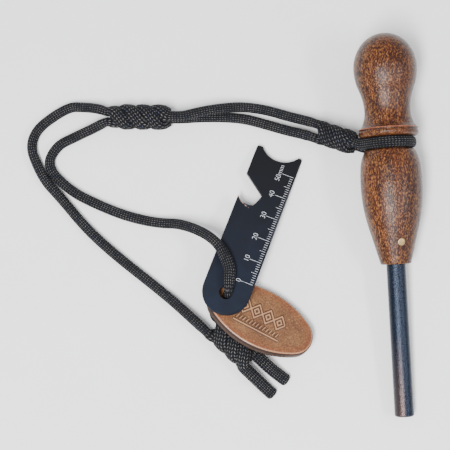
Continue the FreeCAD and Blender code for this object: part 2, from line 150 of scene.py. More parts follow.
inner = [(-122.3, 44.2, 3.6), (-131.4, 40.7, 2.2), (-139.4, 37.4, 2.0), (-144.2, 28.7, 2.0),
         (-134.3, 17.6, 2.0), (-122.4, 10.9, 2.0), (-110.7, 5.5, 2.0), (-97.8, 1.9, 2.2),
         (-86.8, 0.8, 4.9), (-73.6, -7.1, 13.1)]
throughEyes = [(-68.45, -18.8, 14.22), (-68.97, -23.72, 15.1), (-69.6, -29.3, 16.05),
               (-70.0, -30.3, 10.9), (-70.6, -31.2, 7.0), (-72.4, -32.0, 3.4), (-75.3, -34.6, 2.3),
               (-76.6, -37.7, 3.9)]
tailLong = [(-56.6, -68.9, 2.1), (-53.2, -72.2, 1.75)]
tailShort = [(-51.2, -63.7, 2.1), (-47.2, -66.8, 1.75)]


def knotAlong(knot):
    return (knot["end"] - knot["start"]).normalized()


def knotPoint(knot, place, strand):  # one of two strands twisted round each other
    length = (knot["end"] - knot["start"]).length
    along = knotAlong(knot)
    up = (Vector((0, 0, 1)) - along * along.z).normalized()
    side = up.cross(along)
    turn, ease = knot["halfTurns"] * math.pi, cord["twistEase"]
    rate = turn / (length - ease)
    if place < ease:
        turned = rate * place * place / (2 * ease)
    elif place > length - ease:
        turned = turn - rate * (length - place) ** 2 / (2 * ease)
    else:
        turned = rate * (place - ease / 2)
    angle = knot["phase"] + turned + strand * math.pi
    closing = max(0.0, min(1.0, (place - length + cord["closing"]) / cord["closing"]))
    narrow = 1 - (1 - knot["narrowEnd"]) * closing * closing * (3 - 2 * closing)
    offset = side * (knot["across"] * narrow * math.cos(angle)) + up * (knot["height"] * math.sin(angle))
    return knot["start"] + along * place + offset


def knotRun(knot, strand):  # points, widths and the way that the flat side faces
    count = round(knot["halfTurns"] * 6) + 2
    length = (knot["end"] - knot["start"]).length
    run = []
    for i in range(count):
        place = length * i / (count - 1)
        point = knotPoint(knot, place, strand)
        size = cord["free" if i < 1 else knot["leaving"] if i > count - 3 else "knotted"]
        outwards = (point - knot["start"] - knotAlong(knot) * place).normalized()
        run.append((point, size, Vector((0, 0, 1)) if i >= count - knot["level"] else outwards))
    return run


def nooseRun(first, last, step):
    run = []
    for degrees in range(first, last, step):
        angle = math.radians(degrees)
        spoke = Vector((math.cos(angle), 0, 0)) + handleAbove * math.sin(angle)
        run.append((groove + spoke * cord["nooseRadius"], cord["noose"], spoke))
    return run


def stretch(points, size, facing=(0, 0, 1)):
    return [(Vector(point), cord[size], Vector(facing)) for point in points]


def leave(knot, strand):  # straight out of a knot
    return knotPoint(knot, (knot["end"] - knot["start"]).length, strand) + knotAlong(knot) * cord["lead"]


def enter(knot, strand):
    return knotPoint(knot, 0.0, strand) - knotAlong(knot) * cord["lead"]


longRoute = (
    nooseRun(-90, 136, 15)
    + stretch([(-7.2, 28.15, 20.4), (-10.0, 28.45, 17.2), (-11.0, 28.9, 13.9)], "noose", (-0.8, 0, 0.6))
    + knotRun(handleKnot, 0)
    + stretch([leave(handleKnot, 0)] + pairUpper + [enter(middleKnot, 0)], "free")
    + knotRun(middleKnot, 0)
    + stretch(inner, "free")
    + stretch(throughEyes[:2], "onStriker")
    + stretch(throughEyes[2:], "eye")
    + knotRun(endKnot, 0)
    + stretch([leave(endKnot, 0)] + tailLong, "tail")
)
shortRoute = (
    stretch([(0.0, 29.57, 5.3), (-4.4, 29.5, 5.5), (-9.2, 28.5, 8.0)], "noose", (0, 0, -1))
    + knotRun(handleKnot, 1)
    + stretch([leave(handleKnot, 1)] + pairLower + [enter(middleKnot, 1)], "free")
    + knotRun(middleKnot, 1)
    + stretch(outer + [enter(endKnot, 1)], "free")
    + knotRun(endKnot, 1)
    + stretch([leave(endKnot, 1)] + tailShort, "tail")
)


def splineLine(points):  # points along the smooth line of a cord
    curve = bpy.data.curves.new("cordLine", "CURVE")
    curve.dimensions = "3D"
    curve.resolution_u = 24
    spline = curve.splines.new("NURBS")
    spline.points.add(len(points) - 1)
    for control, point in zip(spline.points, points):
        control.co = (*(at(*point)), 1)
    spline.order_u = 3
    spline.use_endpoint_u = True
    holder = linkMesh("cordLine", curve)
    mesh = evaluatedMesh(holder)
    line = [vertex.co.copy() for vertex in mesh.vertices]
    bpy.data.objects.remove(holder)
    bpy.data.curves.remove(curve)
    bpy.data.meshes.remove(mesh)
    return line


def evenLine(line, step):  # points at equal distances along a line, and its length
    total = sum((b - a).length for a, b in zip(line, line[1:]))
    count = round(total / step)
    spacing = total / count
    points, wanted, passed = [line[0]], spacing, 0.0
    for a, b in zip(line, line[1:]):
        run = (b - a).length
        while passed + run >= wanted and len(points) < count:
            points.append(a.lerp(b, (wanted - passed) / run))
            wanted += spacing
        passed += run
    points.append(line[-1])
    return points, total


def sectionsAlong(points, route):  # what the route says of the section, at every ring
    places, nearest = [], 0
    for control, size, facing in route:
        goal = at(*control)
        reach = points[nearest:nearest + cord["search"]]
        nearest += min(range(len(reach)), key=lambda i: (reach[i] - goal).length)
        places.append((nearest, size, facing))
    sections, leg = [], 0
    for i in range(len(points)):
        while leg < len(places) - 2 and i > places[leg + 1][0]:
            leg += 1
        (first, small, facing), (second, large, turned) = places[leg], places[leg + 1]
        share = min(1.0, max(0.0, (i - first) / max(1, second - first)))
        share = share * share * (3 - 2 * share)
        if facing.dot(turned) < 0:
            turned = turned * -1
        size = [a + (b - a) * share for a, b in zip(small, large)]
        sections.append((size, facing.lerp(turned, share)))
    return sections


def braidedTube(name, route, material):
    points, total = evenLine(splineLine([row[0] for row in route]), cord["step"] * mm)
    sections = sectionsAlong(points, route)
    around = cord["columns"] * 2
    made = bmesh.new()
    uvLayer = made.loops.layers.uv.new("braid")
    rings, side = [], None
    for i, point in enumerate(points):
        heading = (points[min(i + 1, len(points) - 1)] - points[max(i - 1, 0)]).normalized()
        if side is None:
            side = Vector((0, 0, 1)).cross(heading)
        side = (side - heading * side.dot(heading)).normalized()
        other = heading.cross(side)
        (wide, high, full), facing = sections[i]
        level = facing.cross(heading)
        flat = min(1.0, level.length * 1.5)
        level = level.normalized() if level.length > 0.01 else side
        wide, high = wide / 2, high / 2
        toEnd = min(1.0, (len(points) - 1 - i) * cord["step"] / cord["blunt"])
        fused = cord["fused"] + (1 - cord["fused"]) * math.sqrt(1 - (1 - toEnd) ** 2)
        wide, high = wide * fused, high * fused
        middle = (wide + high) / 2
        wide = middle + (wide - middle) * flat
        high = middle + (high - middle) * flat
        ring = []
        for k in range(around):
            angle = 2 * math.pi * k / around
            spoke = side * math.cos(angle) + other * math.sin(angle)
            across = min(1.0, abs(spoke.dot(level)))
            upright = math.sqrt(1 - across * across)
            radius = ((across / wide) ** full + (upright / high) ** full) ** (-1 / full)
            ridge = cord["ridge"] if k % 2 else -cord["ridge"]
            ring.append(made.verts.new(point + spoke * ((radius + ridge) * mm)))
        rings.append(ring)
    lengthways = total / mm / cord["stitch"] / (len(points) - 1)
    for i in range(len(rings) - 1):
        for k in range(around):
            face = made.faces.new((rings[i][k], rings[i][(k + 1) % around],
                                   rings[i + 1][(k + 1) % around], rings[i + 1][k]))
            face.smooth = True
            corners = ((k, i), (k + 1, i), (k + 1, i + 1), (k, i + 1))
            for loop, (u, v) in zip(face.loops, corners):
                loop[uvLayer].uv = (u / 2, v * lengthways)
    for ring, inwards in ((rings[0], 1), (rings[-1], -1)):  # a cut end, slightly domed
        place = points[0] if inwards == 1 else points[-1]
        heading = (points[1] - points[0] if inwards == 1 else points[-1] - points[-2]).normalized()
        out = heading * (-inwards * cord["dome"] * mm)
        cap = [made.verts.new(place.lerp(corner.co, cord["domeInset"]) + out) for corner in ring]
        for k in range(around):
            pair = (ring[k], ring[(k + 1) % around], cap[(k + 1) % around], cap[k])
            made.faces.new(pair[::-1] if inwards == 1 else pair).smooth = True
        made.faces.new(cap[::-1] if inwards == 1 else cap)
    made.normal_update()
    mesh = toMesh(made, name)
    mesh.materials.append(material)
    return linkMesh(name, mesh), points, total


def tone(red, green, blue):  # a colour as a picture editor shows it
    def linear(value):
        value /= 255
        return value / 12.92 if value <= 0.04045 else ((value + 0.055) / 1.055) ** 2.4
    return (linear(red), linear(green), linear(blue), 1)


def startMaterial(name):
    material = bpy.data.materials.new(name)
    material.use_nodes = True
    return material, material.node_tree, material.node_tree.nodes["Principled BSDF"]


def node(tree, kind, inputs=None, **settings):
    made = tree.nodes.new(kind)
    for key, value in settings.items():
        setattr(made, key, value)
    for key, value in (inputs or {}).items():
        if isinstance(value, bpy.types.NodeSocket):
            tree.links.new(value, made.inputs[key])
        else:
            made.inputs[key].default_value = value
    return made


def calc(tree, operation, *values):
    return node(tree, "ShaderNodeMath", dict(enumerate(values)), operation=operation).outputs[0]


def ramp(tree, factor, *stops):
    made = node(tree, "ShaderNodeValToRGB", {"Fac": factor})
    points = made.color_ramp.elements
    for i, (place, colour) in enumerate(stops):
        point = points[i] if i < 2 else points.new(place)
        point.position = place
        point.color = colour if isinstance(colour, tuple) else (colour, colour, colour, 1)
    return made.outputs["Color"]


def mixColour(tree, factor, first, second, blend="MIX"):
    made = node(tree, "ShaderNodeMix", data_type="RGBA", blend_type=blend)
    for socket, value in ((made.inputs[0], factor), (made.inputs[6], first), (made.inputs[7], second)):
        if isinstance(value, bpy.types.NodeSocket):
            tree.links.new(value, socket)
        else:
            socket.default_value = value
    return made.outputs[2]


def noise(tree, vector, scale, detail=4.0, roughness=0.55, distortion=0.0):
    made = node(tree, "ShaderNodeTexNoise", {"Vector": vector, "Scale": scale, "Detail": detail,
                                             "Roughness": roughness, "Distortion": distortion})
    return made.outputs["Fac"]


def bumped(tree, shader, height, strength, distance):
    made = node(tree, "ShaderNodeBump", {"Height": height, "Strength": strength, "Distance": distance})
    tree.links.new(made.outputs[0], shader.inputs["Normal"])


def inAxes(tree, origin, xAxis, yAxis, zAxis):  # object coordinates turned to a piece's own axes
    place = node(tree, "ShaderNodeTexCoord").outputs["Object"]
    turn = Matrix((xAxis, yAxis, zAxis)).transposed().to_euler("XYZ")
    made = node(tree, "ShaderNodeMapping", {"Vector": place, "Location": tuple(origin),
                                            "Rotation": tuple(turn)}, vector_type="TEXTURE")
    return made.outputs[0]


def scaled(tree, vector, x, y, z):
    return node(tree, "ShaderNodeVectorMath", {0: vector, 1: (x, y, z)}, operation="MULTIPLY").outputs[0]


# the darkest tone is painted shade between the stitches; the grey and blue tones paint highlights on the
# stitch crests
braid = {"gap": tone(3, 3, 4), "yarn": tone(14, 15, 19), "stitchHighlight": tone(142, 140, 140),
         "blue": tone(78, 83, 104), "relief": 0.00028}  # relief in metres


def makeBraid():
    material, tree, shader = startMaterial("blackBraid")
    place = node(tree, "ShaderNodeUVMap", uv_map="braid").outputs[0]
    parts = node(tree, "ShaderNodeSeparateXYZ", {0: place})
    column = calc(tree, "FLOOR", parts.outputs[0])
    within = calc(tree, "FRACT", parts.outputs[0])
    odd = calc(tree, "MODULO", column, 2.0)
    slope = calc(tree, "MULTIPLY", within, calc(tree, "MULTIPLY_ADD", odd, -2.0, 1.0))
    along = calc(tree, "ADD", parts.outputs[1], slope)
    turn = calc(tree, "FRACT", along)
    row = calc(tree, "FLOOR", along)
    bar = calc(tree, "SQRT", calc(tree, "SINE", calc(tree, "MULTIPLY", turn, math.pi)))
    edge = calc(tree, "SQRT", calc(tree, "SINE", calc(tree, "MULTIPLY", within, math.pi)))
    height = calc(tree, "MULTIPLY", bar, edge)
    cell = node(tree, "ShaderNodeCombineXYZ", {0: column, 1: row})
    chance = node(tree, "ShaderNodeTexWhiteNoise", {"Vector": cell.outputs[0]},
                  noise_dimensions="2D").outputs["Value"]
    # painted highlights on the stitch crests, some of them bluish
    stitchHighlight = mixColour(tree, ramp(tree, chance, (0.55, 0.0), (0.9, 1.0)), braid["stitchHighlight"], braid["blue"])
    crest = ramp(tree, height, (0.8, 0.0), (0.98, 0.95))
    patchy = ramp(tree, noise(tree, scaled(tree, place, 0.25, 0.12, 1.0), 1.0, 2.0), (0.3, 0.35),
                  (0.65, 1.0))
    share = calc(tree, "MULTIPLY", crest, calc(tree, "MULTIPLY", patchy,
                                               calc(tree, "MULTIPLY_ADD", chance, 0.5, 0.5)))
    # painted shade: darker in the gaps between stitches
    yarn = mixColour(tree, ramp(tree, height, (0.25, 0.0), (0.6, 1.0)), braid["gap"], braid["yarn"])
    yarn = mixColour(tree, share, yarn, stitchHighlight)
    fibres = noise(tree, scaled(tree, place, 3.0, 22.0, 1.0), 1.0, 2.0)
    tree.links.new(mixColour(tree, 0.3, yarn, fibres, "MULTIPLY"), shader.inputs["Base Color"])
    shader.inputs["Roughness"].default_value = 0.75
    shader.inputs["Specular IOR Level"].default_value = 0.2
    bumped(tree, shader, calc(tree, "ADD", height, calc(tree, "MULTIPLY", fibres, 0.25)),
           0.9, braid["relief"])
    return material


braidMaterial = makeBraid()
cordNodes = ["lanyard_noose", "knot_at_handle", "knot_middle", "knot_end"]
for name, route, own in (
        ("cord_long_strand", longRoute, ["cord_pair_upper", "cord_inner", "cord_through_eyes",
                                         "cord_tail_long"]),
        ("cord_short_strand", shortRoute, ["cord_pair_lower", "cord_outer", "cord_tail_short"])):
    piece, line, total = braidedTube(name, route, braidMaterial)
    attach(piece, "lanyard")
    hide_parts(*(own + cordNodes))
    print(f"{name}: {total:.3f} m, {len(piece.data.polygons)} faces")


# the shade tone is painted shade on the handle's right side, and the tone after it a painted highlight
# along the collar's upper ridge
wood = {"dark": tone(36, 14, 9), "middle": tone(66, 28, 14), "light": tone(100, 50, 21),
        "pore": tone(20, 9, 7), "glint": tone(180, 124, 72), "shade": tone(38, 18, 19),
        "wearAndHighlight": tone(172, 96, 74),
        "length": 95.9, "groovePlace": 45.8,  # from the top of the bulb, along the axis
        # the collar's two fine ridges, as the place along the axis and the radius
        "collar": [(38.3, 10.75), (38.9, 11.25), (39.45, 11.8), (39.75, 12.2), (39.95, 12.36),
                   (40.15, 12.3), (40.4, 12.08), (40.6, 12.0), (40.8, 12.08), (41.05, 12.3),
                   (41.5, 12.42), (42.0, 12.36), (42.5, 12.12), (42.9, 11.75), (43.22, 11.2),
                   (43.27, 10.4)],
        "collarInside": [(43.0, 9.9), (38.6, 9.9)],  # hidden in the wood, closes the ring
        "crestPlace": 39.95, "quirkPlace": 40.6, "collarSteps": 160}


def alongHandle(distance):  # a place on the axis, measured from the top of the bulb
    return groove - handleAxis * (distance - wood["groovePlace"])


def handlePoint(distance, radius, angle):
    spoke = Vector((math.cos(angle), 0, 0)) + handleAbove * math.sin(angle)
    return at(*(alongHandle(distance) + spoke * radius))


def makeWood():
    material, tree, shader = startMaterial("varnishedWood")
    place = inAxes(tree, at(*alongHandle(0)), handleAbove, Vector((1, 0, 0)), handleAxis)
    figure = noise(tree, scaled(tree, place, 1.0, 1.0, 0.10), 170.0, 4.0, 0.6, 0.8)
    streaks = noise(tree, scaled(tree, place, 1.0, 1.0, 0.05), 460.0, 3.0)
    tonal = calc(tree, "ADD", calc(tree, "MULTIPLY", figure, 0.6), calc(tree, "MULTIPLY", streaks, 0.4))
    colour = ramp(tree, tonal, (0.37, wood["dark"]), (0.63, wood["light"]), (0.5, wood["middle"]))
    flecks = noise(tree, scaled(tree, place, 1.0, 1.0, 0.36), 2700.0, 2.0, 0.6)
    coarse = noise(tree, scaled(tree, place, 1.0, 1.0, 0.2), 1100.0, 2.0, 0.6)
    grain = calc(tree, "ADD", calc(tree, "MULTIPLY", flecks, 0.75), calc(tree, "MULTIPLY", coarse, 0.25))
    across = node(tree, "ShaderNodeSeparateXYZ", {0: place}).outputs[1]
    shadedSide = ramp(tree, calc(tree, "MULTIPLY_ADD", across, 40.0, 0.5), (0.1, 0.0), (0.95, 0.62))
    colour = mixColour(tree, shadedSide, colour, wood["shade"])  # painted shade: the handle's right side, away from the key light, is darker
    colour = mixColour(tree, ramp(tree, grain, (0.41, 0.75), (0.5, 0.0)), colour, wood["pore"])
    # light flecks in the grain, fewer on the painted shaded side
    glint = calc(tree, "MULTIPLY", ramp(tree, grain, (0.51, 0.0), (0.66, 0.75)),
                 calc(tree, "MULTIPLY_ADD", shadedSide, -0.75, 1.0))
    colour = mixColour(tree, glint, colour, wood["glint"])
    # painted highlight along the collar's upper ridge crest, painted shade in the quirk groove below it
    for name, share, other in (("crest", 0.7, wood["wearAndHighlight"]), ("quirk", 0.8, wood["pore"])):
        there = node(tree, "ShaderNodeAttribute", attribute_name=name).outputs["Fac"]
        colour = mixColour(tree, calc(tree, "MULTIPLY", there, share), colour, other)
    tree.links.new(colour, shader.inputs["Base Color"])
    shader.inputs["Specular IOR Level"].default_value = 0.27
    tree.links.new(ramp(tree, grain, (0.35, 0.42), (0.65, 0.24)), shader.inputs["Roughness"])
    bumped(tree, shader, grain, 0.85, 0.0002)
    return material


# the brownish tone is painted under the highlight line near the rod's tip
ferro = {"bare": 62.6, "dark": tone(7, 11, 20), "light": tone(41, 53, 74), "rubbedAndHighlight": tone(92, 72, 64)}


def makeFerro():
    material, tree, shader = startMaterial("ferroMetal")
    tipPlace = at(*alongHandle(wood["length"] + ferro["bare"]))
    place = inAxes(tree, tipPlace, handleAbove, Vector((1, 0, 0)), handleAxis)
    grain = noise(tree, place, 2300.0, 5.0, 0.7)
    drawn = noise(tree, scaled(tree, place, 1.0, 1.0, 0.06), 1500.0, 3.0)
    colour = ramp(tree, grain, (0.3, ferro["dark"]), (0.72, ferro["light"]))
    along = node(tree, "ShaderNodeSeparateXYZ", {0: place}).outputs[2]
    tip = ramp(tree, calc(tree, "MULTIPLY", along, 16.0), (0.0, 0.75), (0.55, 0.0))
    across = node(tree, "ShaderNodeSeparateXYZ", {0: place}).outputs[1]
    side = ramp(tree, calc(tree, "MULTIPLY_ADD", across, -120.0, 0.5),
                (0.46, 0.0), (0.6, 1.0), (0.74, 1.0), (0.95, 0.35))
    tip = calc(tree, "MULTIPLY", tip, side)  # painted highlight: lighter brownish band on the rod's left near the tip, under the highlight line
    colour = mixColour(tree, tip, colour, ferro["rubbedAndHighlight"])
    tree.links.new(mixColour(tree, 0.4, colour, drawn, "MULTIPLY"), shader.inputs["Base Color"])
    shader.inputs["Metallic"].default_value = 0.7
    tree.links.new(ramp(tree, grain, (0.25, 0.2), (0.75, 0.36)), shader.inputs["Roughness"])
    bumped(tree, shader, calc(tree, "MULTIPLY_ADD", drawn, 0.3, grain), 0.8, 0.00016)
    return material


brass = {"dull": tone(150, 120, 80), "bright": tone(196, 168, 122), "glue": tone(30, 18, 13),
         "radius": 1.5, "fromEnd": 9.0, "turn": 10.5, "glueLine": 0.22, "proud": 0.07, "dome": 0.12,
         "woodThere": 8.62, "taper": -0.2712,  # radius of the wood at the pin, and how it narrows
         "sunk": 0.6, "steps": 48}


def makeBrass():
    material, tree, shader = startMaterial("filedBrass")
    place = node(tree, "ShaderNodeTexCoord").outputs["Object"]
    marks = noise(tree, scaled(tree, place, 1.0, 0.15, 1.0), 5200.0, 3.0)
    ring = node(tree, "ShaderNodeAttribute", attribute_name="ring").outputs["Fac"]
    colour = ramp(tree, marks, (0.3, brass["dull"]), (0.7, brass["bright"]))
    tree.links.new(mixColour(tree, ring, colour, brass["glue"]), shader.inputs["Base Color"])
    tree.links.new(calc(tree, "SUBTRACT", 0.9, ring), shader.inputs["Metallic"])
    tree.links.new(ramp(tree, marks, (0.3, 0.35), (0.7, 0.5)), shader.inputs["Roughness"])
    bumped(tree, shader, marks, 0.3, 0.00005)
    return material


def latheCollar(material):
    made = bmesh.new()
    # crest marks the upper ridge for its painted highlight, quirk the groove for its painted shade
    crestLayer = made.verts.layers.float.new("crest")
    quirkLayer = made.verts.layers.float.new("quirk")
    steps = wood["collarSteps"]
    rows = []
    for distance, radius in wood["collar"] + wood["collarInside"]:
        row = []
        for k in range(steps):
            vertex = made.verts.new(handlePoint(distance, radius, 2 * math.pi * k / steps))
            vertex[crestLayer] = float(distance == wood["crestPlace"])
            vertex[quirkLayer] = float(distance == wood["quirkPlace"])
            row.append(vertex)
        rows.append(row)
    joinRings(made, zip(rows, rows[1:] + rows[:1]))
    bmesh.ops.recalc_face_normals(made, faces=made.faces)
    mesh = toMesh(made, "collar_ridges")
    mesh.materials.append(material)
    return linkMesh("collar_ridges", mesh)


def pinEnds(material):  # the two filed ends of the pin, each in a thin line of glue
    made = bmesh.new()
    ringLayer = made.verts.layers.float.new("ring")
    turn = math.radians(brass["turn"])
    pinAxis = handleAbove * math.cos(turn) + Vector((math.sin(turn), 0, 0))
    across = handleAxis.cross(pinAxis)
    centre = alongHandle(wood["length"] - brass["fromEnd"])
    radius, dome, steps = brass["radius"], brass["dome"], brass["steps"]
    glued = 1 + brass["glueLine"] / radius
    profile = ((0.0, dome, 0), (0.5, dome * 0.8, 0), (0.85, dome * 0.4, 0), (1.0, 0.02, 0),
               (1.0, -0.02, 1), (glued, 0.0, 1), (glued, -brass["sunk"], 1))
    for way in (1, -1):
        rows = []
        for out, rise, inGlue in profile:
            row = []
            for k in range(steps):
                angle = 2 * math.pi * k / steps
                down, wide = radius * out * math.cos(angle), radius * out * math.sin(angle)
                here = brass["woodThere"] + brass["taper"] * down
                height = math.sqrt(here * here - wide * wide) + brass["proud"] + rise
                point = centre - handleAxis * down + across * wide + pinAxis * (height * way)
                vertex = made.verts.new(at(*point))
                vertex[ringLayer] = inGlue
                row.append(vertex)
            rows.append(row)
        joinRings(made, zip(rows, rows[1:]))
        made.faces.new(rows[-1])
    bmesh.ops.remove_doubles(made, verts=made.verts, dist=1e-7)
    bmesh.ops.recalc_face_normals(made, faces=made.faces)
    mesh = toMesh(made, "pin_ends")
    mesh.materials.append(material)
    return linkMesh("pin_ends", mesh)


def dress(nodeName, material):
    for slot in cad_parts[nodeName].material_slots:
        slot.link = "OBJECT"
        slot.material = material


woodMaterial, brassMaterial = makeWood(), makeBrass()
dress("handle_wood", woodMaterial)
dress("ferro_rod", makeFerro())
dress("brass_pin", brassMaterial)
for piece, slot in ((latheCollar(woodMaterial), "wood"), (pinEnds(brassMaterial), "brass")):
    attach(piece, "handle")
print("handle: wood, rod and pin dressed, collar ridges and pin ends made")


striker = {"end": (-70.4, -28.7, 13.75), "yaw": 66.2, "pitch": 10.39, "width": 20.0,
           "zero": 6.0, "short": 1.4, "medium": 2.5, "long": 5.0, "line": 0.15, "edgeGap": 0.8,
           "marks": 51, "digit": 3.0, "digitAcross": -3.95, "digitOffset": -0.05, "print": 0.02,
           # the line by the scale's edge and its pale grey tone are a painted highlight of the plate's
           # bevel
           "edgeHighlightLine": (38.0, -9.72), "edgeHighlightReach": (12.5, 0.13), "wearWidth": 0.22,
           # along, across and radius of the scraper's edge and of the notch's edge
           "scraper": (70.9, -0.9, 10.3), "notch": (45.9, 2.3, 9.3),
           "navy": tone(8, 14, 26), "navyLight": tone(13, 22, 39), "black": tone(9, 8, 10),
           "rubbedAndHighlight": tone(104, 102, 110), "bareDark": tone(150, 104, 84),
           "bareLight": tone(206, 188, 176), "inkDull": tone(120, 124, 132), "ink": tone(206, 209, 214)}
yaw = math.radians(striker["yaw"])
pitch = math.radians(striker["pitch"])
strikerAlong = Vector((math.cos(yaw) * math.cos(pitch), math.sin(yaw) * math.cos(pitch),
                       -math.sin(pitch)))
strikerRight = Vector((math.sin(yaw), -math.cos(yaw), 0))
strikerUp = strikerRight.cross(strikerAlong)
strikerPlace = axesMatrix(at(*striker["end"]), strikerAlong, strikerRight * -1, strikerUp)


def makeCoating():
    material, tree, shader = startMaterial("blackCoating")
    place = inAxes(tree, at(*striker["end"]), strikerAlong, strikerRight * -1, strikerUp)
    grain = noise(tree, place, 3800.0, 4.0)
    cloud = noise(tree, place, 140.0, 4.0)
    parts = node(tree, "ShaderNodeSeparateXYZ", {0: place})
    colour = ramp(tree, cloud, (0.3, striker["navy"]), (0.75, striker["navyLight"]))
    # painted sheen: navy near the eye end, fading to black towards the scraper end
    far = ramp(tree, calc(tree, "MULTIPLY", parts.outputs[0], 14.0), (0.0, 0.0), (0.85, 0.9))
    colour = mixColour(tree, far, colour, striker["black"])
    # painted highlight: a thin lighter line along the plate's bevel by the scale's edge
    lineAlong, lineAcross = striker["edgeHighlightLine"]
    reachAlong, reachAcross = striker["edgeHighlightReach"]
    edgeLine = calc(tree, "COMPARE", parts.outputs[1], lineAcross * mm, reachAcross * mm)
    reach = calc(tree, "COMPARE", parts.outputs[0], lineAlong * mm, reachAlong * mm)
    colour = mixColour(tree, calc(tree, "MULTIPLY", calc(tree, "MULTIPLY", edgeLine, reach), 0.4),
                       colour, striker["rubbedAndHighlight"])

    def wearAndHighlight(x, y, radius, low, high):  # an arc of an edge, rubbed bare in places
        flat = node(tree, "ShaderNodeVectorMath", {0: scaled(tree, place, 1, 1, 0),
                                                   1: (x * mm, y * mm, 0)}, operation="DISTANCE")
        away = calc(tree, "ABSOLUTE", calc(tree, "SUBTRACT", flat.outputs["Value"], radius * mm))
        near = calc(tree, "LESS_THAN", away, striker["wearWidth"] * mm)
        patch = ramp(tree, noise(tree, place, 420.0, 3.0), (low, 0.0), (high, 1.0))
        before = calc(tree, "LESS_THAN", parts.outputs[0], x * mm)
        beyond = calc(tree, "GREATER_THAN", parts.outputs[1], (y + radius * 0.15) * mm)
        return calc(tree, "MULTIPLY", calc(tree, "MULTIPLY", near, patch),
                    calc(tree, "MULTIPLY", before, beyond))

    wear = calc(tree, "MAXIMUM", wearAndHighlight(*striker["scraper"], 0.42, 0.55),
                wearAndHighlight(*striker["notch"], 0.38, 0.5))
    bare = ramp(tree, grain, (0.3, striker["bareDark"]), (0.7, striker["bareLight"]))
    tree.links.new(mixColour(tree, wear, colour, bare), shader.inputs["Base Color"])
    tree.links.new(wear, shader.inputs["Metallic"])
    tree.links.new(ramp(tree, grain, (0.2, 0.45), (0.8, 0.62)), shader.inputs["Roughness"])
    shader.inputs["Specular IOR Level"].default_value = 0.22
    bumped(tree, shader, grain, 0.28, 0.00006)
    return material


def makePrint():
    material, tree, shader = startMaterial("rulerPrint")
    place = node(tree, "ShaderNodeTexCoord").outputs["Object"]
    rubbedAndHighlight = noise(tree, place, 1900.0, 3.0)
    tree.links.new(ramp(tree, rubbedAndHighlight, (0.3, striker["inkDull"]), (0.6, striker["ink"])),
                   shader.inputs["Base Color"])
    shader.inputs["Roughness"].default_value = 0.6
    return material


def rulerTree(material):
    tree = bpy.data.node_groups.new("rulerTicks", "GeometryNodeTree")
    tree.is_modifier = True
    face = tree.interface
    for label, kind in (("Marks", "NodeSocketInt"), ("Spacing", "NodeSocketFloat"),
                        ("Short", "NodeSocketFloat"), ("Medium", "NodeSocketFloat"),
                        ("Long", "NodeSocketFloat"), ("Line", "NodeSocketFloat"),
                        ("Thickness", "NodeSocketFloat"), ("Seed", "NodeSocketInt")):
        face.new_socket(label, in_out="INPUT", socket_type=kind)
    face.new_socket("Geometry", in_out="OUTPUT", socket_type="NodeSocketGeometry")
    given = tree.nodes.new("NodeGroupInput").outputs
    row = node(tree, "GeometryNodeMeshLine", mode="OFFSET")
    tree.links.new(given["Marks"], row.inputs["Count"])
    step = node(tree, "ShaderNodeCombineXYZ", {0: given["Spacing"]})
    tree.links.new(step.outputs[0], row.inputs["Offset"])
    index = tree.nodes.new("GeometryNodeInputIndex").outputs[0]
    tenth = calc(tree, "LESS_THAN", calc(tree, "MODULO", index, 10.0), 0.5)
    fifth = calc(tree, "LESS_THAN", calc(tree, "MODULO", index, 5.0), 0.5)
    toMedium = calc(tree, "SUBTRACT", given["Medium"], given["Short"])
    size = calc(tree, "ADD", given["Short"], calc(tree, "MULTIPLY", fifth, toMedium))
    toLong = calc(tree, "SUBTRACT", given["Long"], given["Medium"])
    size = calc(tree, "ADD", size, calc(tree, "MULTIPLY", tenth, toLong))
    wobble = node(tree, "FunctionNodeRandomValue", {"Seed": given["Seed"]}, data_type="FLOAT")
    wobble.inputs[2].default_value, wobble.inputs[3].default_value = 0.96, 1.04
    size = calc(tree, "MULTIPLY", size, wobble.outputs[1])
    moved = node(tree, "GeometryNodeSetPosition", {"Geometry": row.outputs[0]})
    tree.links.new(node(tree, "ShaderNodeCombineXYZ", {1: calc(tree, "MULTIPLY", size, 0.5)}).outputs[0],
                   moved.inputs["Offset"])
    tick = node(tree, "GeometryNodeMeshCube")
    tree.links.new(node(tree, "ShaderNodeCombineXYZ", {0: given["Line"], 1: 1.0,
                                                       2: given["Thickness"]}).outputs[0],
                   tick.inputs["Size"])
    placed = node(tree, "GeometryNodeInstanceOnPoints", {"Points": moved.outputs[0],
                                                         "Instance": tick.outputs[0]})
    tree.links.new(node(tree, "ShaderNodeCombineXYZ", {0: 1.0, 1: size, 2: 1.0}).outputs[0],
                   placed.inputs["Scale"])
    real = node(tree, "GeometryNodeRealizeInstances", {"Geometry": placed.outputs[0]})
    done = node(tree, "GeometryNodeSetMaterial", {"Geometry": real.outputs[0], "Material": material})
    out = tree.nodes.new("NodeGroupOutput")
    tree.links.new(done.outputs[0], out.inputs["Geometry"])
    return tree


def treeToMesh(tree, values):  # runs a node tree on nothing and keeps what it makes
    holder = linkMesh("holder", bpy.data.meshes.new("holder"))
    modifier = holder.modifiers.new("make", "NODES")
    modifier.node_group = tree
    for item in tree.interface.items_tree:
        if item.in_out == "INPUT" and item.name in values:
            modifier[item.identifier] = values[item.name]
    mesh = evaluatedMesh(holder)
    holder.modifiers.remove(modifier)
    bpy.data.objects.remove(holder)
    return mesh


def strikerRide(name, mesh, local):
    mesh.transform(strikerPlace @ local)
    piece = linkMesh(name, mesh)
    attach(piece, "striker")


